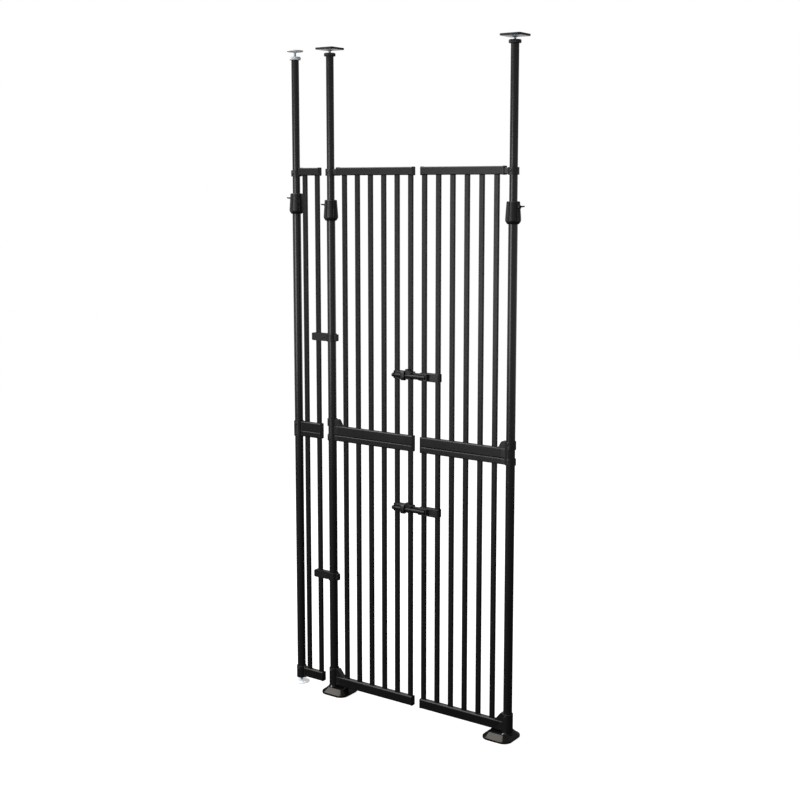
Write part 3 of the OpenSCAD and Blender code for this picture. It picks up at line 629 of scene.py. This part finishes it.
def pan_head(bm, at, axis, r, height, direction):
    """Domed screw head with a cross recess, standing out along direction * axis."""
    rings, n = 9, 32
    points = [[]]
    at = Vector(at)
    for k in range(rings + 1):
        q = k / rings
        ring = []
        for i in range(n):
            a = 2 * math.pi * i / n
            u, v = r * q * math.cos(a), r * q * math.sin(a)
            top = height * math.sqrt(max(0.0, 1 - 0.86 * q * q))
            if q < 0.62 and min(abs(u), abs(v)) < r * 0.13 + 1e-7:
                top -= height * 0.55 * (1 - q * 0.4)
            d = direction * top
            offset = {"Z": (u, v, d), "Y": (u, d, v), "X": (d, u, v)}[axis]
            ring.append(at + Vector(offset))
        points.append(ring)
    base = [at + (p - at) for p in points[-1]]
    low = {"Z": Vector((0, 0, 1)), "Y": Vector((0, 1, 0)), "X": Vector((1, 0, 0))}[axis]
    base = [p - low * (direction * height * 0.6) for p in base]
    skin(bm, points[2:] + [base], caps=True)


for side in ("left", "right"):
    make_foot(side)

# ---------- ceiling plates, discs, knobs and adjusting screws ----------


def make_plate(side, x):
    lo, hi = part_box(side + "_ceiling_plate")
    top, half, thick = hi.z, (hi.y - lo.y) / 2, 7.0 * MM
    corner = 7 * MM
    under = top - thick
    levels = (
        (3.0, corner, top), (0.7, corner, top), (0.0, corner, top - 0.8 * MM),
        (0.0, corner, under + 1.4 * MM),
        (0.8, corner, under + 0.5 * MM), (2.0, corner, under + 0.2 * MM), (4.0, corner, under + 0.1 * MM),
        (8.0, corner * 1.4, under - 0.4 * MM), (14.0, 16 * MM, under - 1.1 * MM),
        (20.0, 17 * MM, under - 1.7 * MM),
        (25.0, 12 * MM, under - 2.0 * MM), (half / MM - 9.0, 9 * MM, under - 2.2 * MM),
        (half / MM - 8.2, 8.2 * MM, under - 3.4 * MM),
        (half / MM - 7.4, 7.4 * MM, under - 3.7 * MM), (half / MM - 5.4, 5.4 * MM, under - 3.7 * MM),
        (half / MM - 5.1, 5.1 * MM, under - 2.0 * MM),
    )
    bm = bmesh.new()
    rings = []
    for inset, r, z in levels:
        rings.append([(x + u, v, z) for u, v in soft_square(half - inset * MM, r, 8)])
    skin(bm, rings)
    shell = finish_piece(side + "_plate_shell", bm, "plate_plastic", side + "_plate",
        (side + "_ceiling_plate",))
    # The downward faces get a pale colour: a painted reflection on the plate's underside.
    shell.data.materials.append(MATERIALS["painted_reflection"])
    for face in shell.data.polygons:
        if face.normal.z < -0.6 and face.center.z < under + 0.3 * MM:
            face.material_index = 1


def make_disc(name, node, body, x, top_side, material):
    """Round disc with soft edges and a boss for its screw; top_side is 1 when the screw goes up from it."""
    lo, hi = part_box(node)
    r = (hi.x - lo.x) / 2
    flat, thick = (lo.z, 1) if top_side > 0 else (hi.z, -1)
    t = (hi.z - lo.z)
    profile = [(1e-5, 0.0), (r - 3.0 * MM, 0.0), (r - 1.2 * MM, 0.35 * MM), (r - 0.3 * MM, 1.3 * MM),
        (r, 2.6 * MM),
               (r - 0.4 * MM, 3.9 * MM), (r - 1.6 * MM, 4.9 * MM), (r - 4.0 * MM, 5.4 * MM),
               (r * 0.55, 6.1 * MM),
               (r * 0.42, 6.5 * MM), (9.4 * MM, 6.9 * MM), (8.6 * MM, t - 0.3 * MM), (8.0 * MM, t), (1e-5, t)]
    bm = bmesh.new()
    lathe(bm, [(a, flat + thick * h) for a, h in profile], 72, at=(x, 0, 0))
    finish_piece(name, bm, material, body, (node,))


def make_knob(side, x, material, flutes, depth):
    lo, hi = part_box(side + "_knob")
    r, h = 20 * MM, hi.z - lo.z
    bore = 4.65 * MM

    def flute(a, z, radius):
        if radius < r * 0.8:
            return 0.0
        wave = math.cos(flutes * a)
        return -max(0.0, -wave) ** 1.6 * depth

    profile = fillet([(bore, lo.z), (r - 0.8 * MM, lo.z), (r, lo.z + 1.2 * MM), (r, hi.z - 2.4 * MM),
        (r - 2.2 * MM, hi.z),
                      (9.0 * MM, hi.z), (8.2 * MM, hi.z - 1.2 * MM), (bore, hi.z - 1.2 * MM)], 0.9 * MM, 3)
    bm = bmesh.new()
    lathe(bm, profile, 12 * flutes, at=(x, 0, 0), radial=flute, closed=True)
    finish_piece(side + "_knob_grip", bm, material, side + "_knob", (side + "_knob",))


THREAD_PITCH = 2.0 * MM


def make_thread(name, node, body, x):
    """Screw with a real helical thread, in place of the plain CAD rod."""
    lo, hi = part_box(node)
    major = (hi.x - lo.x) / 2
    minor = major - 0.95 * MM
    n, rows_per_pitch = 28, 8
    rows = int((hi.z - lo.z) / THREAD_PITCH * rows_per_pitch)
    rings = []
    for k in range(rows + 1):
        z = lo.z + (hi.z - lo.z) * k / rows
        fade = min(1.0, (z - lo.z) / (1.5 * MM), 1.0)
        ring = []
        for i in range(n):
            a = 2 * math.pi * i / n
            f = (z / THREAD_PITCH - i / n) % 1.0
            tooth = min(1.0, max(0.0, 1.25 - abs(f - 0.5) * 3.4))
            r = minor + (major - minor) * tooth * fade
            ring.append((x + r * math.cos(a), r * math.sin(a), z))
        rings.append(ring)
    bm = bmesh.new()
    skin(bm, rings)
    finish_piece(name, bm, "zinc_screw", body, (node,))


POLES = (("left", 0.0), ("right", GATE_W), ("side", SIDE_X))
for side, x in POLES[:2]:
    make_plate(side, x)
    make_knob(side, x, "black_plastic", 14, 1.5 * MM)
    make_thread(side + "_plate_thread", side + "_plate_screw", side + "_plate", x)
make_knob("side", SIDE_X, "white_plastic", 14, 0.6 * MM)
make_disc("side_ceiling_pad", "side_ceiling_disc", "side_plate", SIDE_X, -1, "white_plastic")
make_disc("side_foot_pad", "side_foot_disc", "side_foot", SIDE_X, 1, "glowing_white_plastic")
make_thread("side_plate_thread", "side_disc_screw", "side_plate", SIDE_X)
make_thread("side_foot_thread", "side_foot_screw", "side_foot", SIDE_X)

# ---------- clamps ----------

RIB_AT = math.radians(-64)


def make_clamp(side, x, boss_dir):
    """Tapered clamp with four broad ribs, a lip on top and a threaded boss for its thumb screw."""
    lo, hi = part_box(side + "_clamp")
    h = hi.z - lo.z
    low_r, top_r = (hi.y - lo.y) / 2 - 0.9 * MM, 20.4 * MM
    seat = 41 * MM
    outer = [(low_r - 6.2 * MM, 0.0), (low_r - 5.7 * MM, 0.3 * MM), (low_r - 0.7 * MM, 8.0 * MM),
        (low_r - 0.1 * MM, 9.2 * MM)]
    for k in range(1, 12):
        t = k / 12
        outer.append((low_r + (top_r - low_r) * t, 9.5 * MM + (h - 12.5 * MM) * t))
    outer += [(top_r, h - 3.0 * MM), (top_r + 0.1 * MM, h - 1.6 * MM), (top_r - 0.5 * MM, h - 0.5 * MM),
        (top_r - 1.6 * MM, h)]
    bore = MAST_R + 0.25 * MM
    inner = [(bore + 1.0 * MM, h), (bore, h - 1.0 * MM), (bore, seat), (TUBE_R + 0.1 * MM, seat),
        (TUBE_R + 0.1 * MM, 0.0)]

    def rib(a, z, radius):
        if radius < TUBE_R + 2 * MM:
            return 0.0
        level = (z - lo.z) / h
        fade = min(1.0, max(0.0, (1.0 - level) * 30), max(0.0, (level - 0.10) * 14))
        d = (a - RIB_AT + math.pi / 4) % (math.pi / 2) - math.pi / 4
        d = abs(math.degrees(d))
        bulge = 1.2 * MM * min(1.0, max(0.0, (27.0 - d) / 2.5))
        groove = -2.4 * MM * max(0.0, 1 - abs(d - 31.0) / 5.0)
        return (bulge + groove) * fade

    bm = bmesh.new()
    lathe(bm, [(r, lo.z + z) for r, z in outer + inner], 144, at=(x, 0, 0), radial=rib, closed=True)
    boss_z = (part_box(side + "_clamp_screw")[0].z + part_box(side + "_clamp_screw")[1].z) / 2
    reach = abs((hi.x if boss_dir > 0 else lo.x) - x)
    edge = 0.7 * MM
    lathe(bm, [(3.1 * MM, boss_dir * 17 * MM), (7.6 * MM, boss_dir * 17 * MM),
        (7.0 * MM, boss_dir * (reach - edge)),
               (7.0 * MM - edge, boss_dir * reach), (3.9 * MM, boss_dir * reach),
               (3.1 * MM, boss_dir * (reach - 0.8 * MM))],
          32, "X", at=(x, 0, boss_z), closed=True)
    finish_piece(side + "_clamp_shell", bm, "black_plastic", "frame", (side + "_clamp",))


def make_wing(side, direction):
    """Thumb screw: threaded shank, ribbed hub and a waisted flat wing."""
    lo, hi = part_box(side + "_clamp_screw")
    z = (lo.z + hi.z) / 2
    inner, outer = (lo.x, hi.x) if direction > 0 else (hi.x, lo.x)
    hub_in = outer - direction * 13.5 * MM
    bm = bmesh.new()
    steps, n = 60, 20
    rings = []
    for k in range(steps + 1):
        px = inner + (hub_in - inner) * k / steps
        ring = []
        for i in range(n):
            a = 2 * math.pi * i / n
            f = ((px - inner) / (1.25 * MM) * direction - i / n) % 1.0
            r = 2.95 * MM - 0.5 * MM * min(1.0, abs(f - 0.5) * 2.4)
            ring.append((px, r * math.cos(a), z + r * math.sin(a)))
        rings.append(ring)
    skin(bm, rings)
    lathe(bm, [(r, direction * h) for r,
        h in fillet([(1e-5, -2.4 * MM), (5.9 * MM, -2.4 * MM), (5.4 * MM, 1.5 * MM), (4.0 * MM, 3.4 * MM),
            (1e-5, 3.4 * MM)], 0.6 * MM, 3, False)],
          36, "X", at=(hub_in, 0, z))
    half, tip = (hi.y - lo.y) / 2, abs(outer - hub_in)
    shape = [(-4.6 * MM, 1.0 * MM), (-6.2 * MM, 4.0 * MM), (-half + 1.6 * MM, 6.6 * MM), (-half, 8.8 * MM),
        (-half + 1.4 * MM, tip - 0.4 * MM),
             (-5.0 * MM, tip - 1.0 * MM), (0.0, tip - 2.6 * MM), (5.0 * MM, tip - 1.0 * MM),
             (half - 1.4 * MM, tip - 0.4 * MM), (half, 8.8 * MM),
             (half - 1.6 * MM, 6.6 * MM), (6.2 * MM, 4.0 * MM), (4.6 * MM, 1.0 * MM)]
    outline = fillet(shape, 1.6 * MM, 3)
    wing = bmesh.new()
    prism(wing, [(hub_in + direction * v, u) for u, v in outline], "Z", z - 1.9 * MM, z + 1.9 * MM)
    for v in wing.verts:
        v.co.z += (abs(v.co.x - hub_in) - 1.0 * MM) * 0.22
    finish_piece(side + "_clamp_thumb", bm, "black_plastic", side + "_clamp_screw",
        (side + "_clamp_screw",))
    finish_piece(side + "_clamp_wing", wing, "matte_plastic", side + "_clamp_screw",
        bevel=1.1 * MM)


for (side, x), direction in zip(POLES, (-1, 1, -1)):
    make_clamp(side, x, direction)
    make_wing(side, direction)

# ---------- latches ----------

KEEP_LO, KEEP_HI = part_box("latch_keepers")
LATCH_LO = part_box("latch_bodies")[0]
LATCH_END = GATE_W - KEEP_LO.x
BARS = [b for b in parts_of("left_bars") if b[0].z < 0.5]
RIGHT_BARS = [b for b in parts_of("right_bars") if b[0].z < 0.5]
BAR_D = BARS[0][1].y - BARS[0][0].y
BAR_W = BARS[0][1].x - BARS[0][0].x
LATCH_T = 4 * MM
FRONT_Y = -BAR_D / 2 - LATCH_T
BOLT_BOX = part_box("upper_bolt")
BOLT_R = 6.5 * MM
BOLT_Y = (BOLT_BOX[0].y + BOLT_BOX[1].y) / 2
CLASP_H = 27 * MM


def clasp(bm, x0, x1, bars, z):
    """Front and back halves that clasp two bars, with a hollow between the bars on the front."""
    h = CLASP_H / 2
    bar_x = [(b[0].x + b[1].x) / 2 for b in bars]
    pocket = BAR_W / 2 + 0.05 * MM
    side = BAR_D / 2 + 0.05 * MM
    for front in (-1, 1):
        outline = [(x0, front * 0.15 * MM), (x0, front * (side + LATCH_T))]
        outline += [(x1, front * (side + LATCH_T)), (x1, front * 0.15 * MM)]
        for bx in sorted(bar_x, reverse=True):
            right, left = min(bx + pocket, x1 - 0.05 * MM), max(bx - pocket, x0 + 0.05 * MM)
            outline += [(right, front * 0.15 * MM), (right, front * side), (left, front * side),
                (left, front * 0.15 * MM)]
        prism(bm, outline, "Z", z - h, z + h)


def make_latch(z, bm, screws):
    """Bolt housing: clasp, round eye, sloped hood, lower lip and clamping screws."""
    x0, x1 = LATCH_LO.x, LATCH_END
    clasp(bm, x0, x1, BARS[-2:], z)
    eye_len, hood_len = 14 * MM, 22 * MM
    eye_x = x1 - hood_len - eye_len - 2 * MM
    eye_r, bore = BOLT_R + 3.5 * MM, BOLT_R + 0.3 * MM
    n, rings = 72, []
    for face_x, grow in ((0.0, -0.9), (0.25, -0.25), (1.1, 0.0), (12.9, 0.0), (13.75, -0.25), (14.0, -0.9)):
        outer, inner = [], []
        for i in range(n):
            a = 2 * math.pi * i / n
            u, v = math.cos(a), math.sin(a)
            tall = (abs(u / eye_r) ** 3.2 + abs(v / (CLASP_H / 2 + 2.5 * MM)) ** 3.2) ** (-1 / 3.2)
            r = tall + grow * MM
            outer.append((eye_x + face_x * MM, BOLT_Y + r * u, z + r * v))
            inner.append((eye_x + face_x * MM, BOLT_Y + bore * u, z + bore * v))
        rings.append((outer, inner))
    skin(bm, [o for o, _ in rings] + [i for _, i in reversed(rings)], closed_loft=True)
    rail_gap = BOLT_R + 1.5 * MM
    for s in (-1, 1):
        a, b = sorted((z + s * rail_gap, z + s * (rail_gap + 3.6 * MM)))
        block(bm, x0 + 13 * MM, eye_x + 0.3 * MM, BOLT_Y + 0.5 * MM, FRONT_Y + 0.3 * MM, a, b)
    block(bm, x1 - 1.0 * MM, KEEP_LO.x - 3 * MM, FRONT_Y, FRONT_Y + 6 * MM, z - 11 * MM, z + 11 * MM)
    gap = BOLT_R + 0.6 * MM
    hx = x1 - hood_len
    hood = fillet([(hx, z + gap), (hx, z + gap + 16.2 * MM), (hx + 4.5 * MM, z + gap + 16.2 * MM),
        (x1, z + gap + 4.5 * MM), (x1, z + gap)], 1.8 * MM, 3)
    prism(bm, hood, "Y", BOLT_Y - BOLT_R / 2, FRONT_Y + 0.3 * MM)
    block(bm, hx, x1, BOLT_Y - BOLT_R / 2, FRONT_Y + 0.3 * MM, z - gap - 3.4 * MM, z - gap)
    for dz in (-8.5 * MM, 8.5 * MM):
        pan_head(screws, ((x0 + x1) / 2 - 13 * MM, BAR_D / 2 + LATCH_T - 0.2 * MM, z + dz), "Y", 3 * MM,
            1.6 * MM, 1)
        pan_head(screws, ((x0 + x1) / 2 + 13 * MM, BAR_D / 2 + LATCH_T - 0.2 * MM, z + dz), "Y", 3 * MM,
            1.6 * MM, 1)
    block(bm, x0 + 0.4 * MM, x0 + 3.4 * MM, FRONT_Y - 1.6 * MM, FRONT_Y + 0.3 * MM, z - 12.5 * MM,
        z + 12.5 * MM)


def make_keeper(z, bm, screws):
    """Keeper: clasp, two lips that hold the bolt's end, an end stop and a sunk field beside it."""
    x0, x1 = KEEP_LO.x, KEEP_HI.x
    clasp(bm, x0, x1, RIGHT_BARS[:2], z)
    bite, lip_t = 30 * MM, 3.5 * MM
    gap = BOLT_R + 0.6 * MM
    lip_y = BOLT_Y - BOLT_R * 0.6
    for s in (-1, 1):
        a, b = sorted((z + s * gap, z + s * (gap + lip_t)))
        lip = fillet([(x0, FRONT_Y + 0.3 * MM), (x0, lip_y + 2 * MM), (x0 + 2 * MM, lip_y),
            (x0 + bite + 3 * MM, lip_y), (x0 + bite + 5 * MM, lip_y + 2 * MM),
                      (x0 + bite + 5 * MM, FRONT_Y + 0.3 * MM)], 1.0 * MM, 2)
        prism(bm, lip, "Z", a, b)
    block(bm, x0 + bite + 1.5 * MM, x0 + bite + 5 * MM, lip_y + 0.6 * MM, FRONT_Y + 0.3 * MM, z - gap,
        z + gap)
    fx0, fx1 = x0 + bite + 6.5 * MM, x1 - BAR_W - 0.5 * MM
    for a, b in ((z - 13 * MM, z - 10.6 * MM), (z + 10.6 * MM, z + 13 * MM)):
        block(bm, fx0, fx1, FRONT_Y - 6.0 * MM, FRONT_Y + 0.3 * MM, a, b)
    block(bm, fx1, x1 - 0.4 * MM, FRONT_Y - 6.0 * MM, FRONT_Y + 0.3 * MM, z - 13 * MM, z + 13 * MM)
    block(bm, fx0 - 1.5 * MM, fx0 + 1.5 * MM, FRONT_Y - 4.0 * MM, FRONT_Y + 0.3 * MM, z - 13 * MM,
        z + 13 * MM)
    for dz in (-8.5 * MM, 8.5 * MM):
        for dx in (-13 * MM, 13 * MM):
            pan_head(screws, ((x0 + x1) / 2 + dx, BAR_D / 2 + LATCH_T - 0.2 * MM, z + dz), "Y", 3 * MM,
                1.6 * MM, 1)


def make_bolt(name, node):
    lo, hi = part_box(node)
    z = (lo.z + hi.z) / 2
    knob_len, knob_r = 11 * MM, (hi.z - lo.z) / 2
    tail = lo.x + knob_len
    profile = fillet([
        (1e-5, lo.x), (knob_r - 2.4 * MM, lo.x), (knob_r, lo.x + 2.6 * MM), (knob_r, tail - 3.0 * MM),
        (knob_r - 2.2 * MM, tail - 0.6 * MM),
        (BOLT_R - 1.8 * MM, tail), (BOLT_R - 1.8 * MM, tail + 2 * MM), (BOLT_R, tail + 3.2 * MM),
        (BOLT_R, hi.x - 3.0 * MM), (BOLT_R - 2.6 * MM, hi.x), (1e-5, hi.x),
    ], 1.3 * MM, 4, False)

    def knurl(a, h, r):
        if tail - 8.6 * MM < h < tail - 2.6 * MM and r > knob_r - 1.2 * MM:
            return -0.35 * MM * (1 - math.cos(18 * a)) / 2
        return 0.0

    bm = bmesh.new()
    lathe(bm, profile, 72, "X", at=(0, BOLT_Y, z), radial=knurl)
    finish_piece(name, bm, "bolt_plastic", node, (node,))


def make_latches():
    middles = [(b[0].z + b[1].z) / 2 for b in (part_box("lower_bolt"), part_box("upper_bolt"))]
    for what, build, node, body in (
        ("latch_housings", make_latch, "latch_bodies", "left_door"),
        ("latch_cradles", make_keeper, "latch_keepers", "right_door"),
    ):
        bm, screws = bmesh.new(), bmesh.new()
        for z in middles:
            build(z, bm, screws)
        finish_piece(what, bm, "black_plastic", body, (node,), bevel=0.8 * MM)
        finish_piece(what + "_screws", screws, "black_screw", body)
    make_bolt("upper_bolt_rod", "upper_bolt")
    make_bolt("lower_bolt_rod", "lower_bolt")


make_latches()

# ---------- small screws and snap buttons ----------


def make_small_screws(name, node, body):
    """Pan heads with a cross recess on the brackets; the snap buttons on the poles stay plain domes."""
    bm = bmesh.new()
    for lo, hi in parts_of(node):
        x, z, r = (lo.x + hi.x) / 2, (lo.z + hi.z) / 2, (hi.z - lo.z) / 2
        if r > 3.1 * MM:
            pan_head(bm, (x, lo.y + 1.9 * MM, z), "Y", r, 1.9 * MM, -1)
        else:
            lathe(bm, [(r - 0.1 * MM, lo.y + 4 * MM), (r - 0.1 * MM, lo.y + 1.1 * MM),
                (r * 0.86, lo.y + 0.45 * MM), (r * 0.5, lo.y + 0.1 * MM), (1e-5, lo.y)], 28, "Y",
                    at=(x, 0, z))
    finish_piece(name, bm, "black_screw", body, (node,))


make_small_screws("left_bracket_screws", "left_door_screws", "left_door")
make_small_screws("right_bracket_screws", "right_door_screws", "right_door")
make_small_screws("frame_small_screws", "pole_screws", "frame")

# ---------- stage ----------

FLOOR_HALF = 7.0


def make_floor():
    mesh = bpy.data.meshes.new("floor")
    h = FLOOR_HALF
    mesh.from_pydata([(-h, -h, 0), (h, -h, 0), (h, h, 0), (-h, h, 0)], [], [(0, 1, 2, 3)])
    floor = bpy.data.objects.new("floor", mesh)
    floor.location = (0.3, 0, -0.0006)
    SCENE.collection.objects.link(floor)
    g = Graph("floor")
    path = g.add("ShaderNodeLightPath")
    seen = g.add("ShaderNodeEmission")
    seen.inputs["Color"].default_value = (1, 1, 1, 1)
    seen.inputs["Strength"].default_value = 0.88
    pale = g.add("ShaderNodeBsdfDiffuse")
    pale.inputs["Color"].default_value = (0.52, 0.52, 0.52, 1)
    both = g.add("ShaderNodeAddShader")
    g.link(seen.outputs[0], both.inputs[0])
    g.link(pale.outputs[0], both.inputs[1])
    place = g.add("ShaderNodeVectorMath", operation="LENGTH")
    g.link(g.coords(), place.inputs[0])
    near = g.add("ShaderNodeBsdfDiffuse")
    near.inputs["Color"].default_value = (0.07, 0.07, 0.07, 1)
    far = g.add("ShaderNodeEmission")
    far.inputs["Strength"].default_value = 0.36
    dim = g.add("ShaderNodeMixShader")
    g.link(g.ramp(place.outputs["Value"], 4.6, 6.4, 0.0, 1.0), dim.inputs[0])
    g.link(near.outputs[0], dim.inputs[1])
    g.link(far.outputs[0], dim.inputs[2])
    pick = g.add("ShaderNodeMixShader")
    g.link(path.outputs["Is Camera Ray"], pick.inputs[0])
    g.link(dim.outputs[0], pick.inputs[1])
    g.link(both.outputs[0], pick.inputs[2])
    g.link(pick.outputs[0], g.out.inputs["Surface"])
    mesh.materials.append(g.mat)


def make_world():
    world = bpy.data.worlds.new("studio")
    SCENE.world = world
    world.use_nodes = True
    tree = world.node_tree
    tree.nodes.clear()
    path = tree.nodes.new("ShaderNodeLightPath")
    room = tree.nodes.new("ShaderNodeBackground")
    room.inputs["Color"].default_value = (1, 1, 1, 1)
    height = tree.nodes.new("ShaderNodeSeparateXYZ")
    tree.links.new(tree.nodes.new("ShaderNodeTexCoord").outputs["Generated"], height.inputs[0])
    glow = tree.nodes.new("ShaderNodeMapRange")
    tree.links.new(height.outputs["Z"], glow.inputs["Value"])
    for socket, value in (("From Min", -0.02), ("From Max", 0.03), ("To Min", 0.62), ("To Max", 0.22)):
        glow.inputs[socket].default_value = value
    tree.links.new(glow.outputs["Result"], room.inputs["Strength"])
    white = tree.nodes.new("ShaderNodeBackground")
    white.inputs["Color"].default_value = (1, 1, 1, 1)
    white.inputs["Strength"].default_value = 1.0
    pick = tree.nodes.new("ShaderNodeMixShader")
    out = tree.nodes.new("ShaderNodeOutputWorld")
    tree.links.new(path.outputs["Is Camera Ray"], pick.inputs[0])
    tree.links.new(room.outputs[0], pick.inputs[1])
    tree.links.new(white.outputs[0], pick.inputs[2])
    tree.links.new(pick.outputs[0], out.inputs["Surface"])


def make_light(name, at, aim, width, height, power):
    data = bpy.data.lights.new(name, "AREA")
    data.shape = "RECTANGLE"
    data.size = width
    data.size_y = height
    data.energy = power
    light = bpy.data.objects.new(name, data)
    light.location = at
    light.rotation_euler = (Vector(aim) - Vector(at)).to_track_quat("-Z", "Y").to_euler()
    SCENE.collection.objects.link(light)


make_floor()
make_world()
make_light("front_softbox", (-0.5, -3.5, 1.4), (0.4, 0, 1.4), 1.8, 1.4, 40)
make_light("overhead", (-2.0, -1.2, 4.2), (-0.8, -0.4, 1.2), 4.6, 4.4, 225)

SCENE.view_settings.view_transform = "Standard"
SCENE.view_settings.look = "None"
SCENE.view_settings.exposure = 0.0
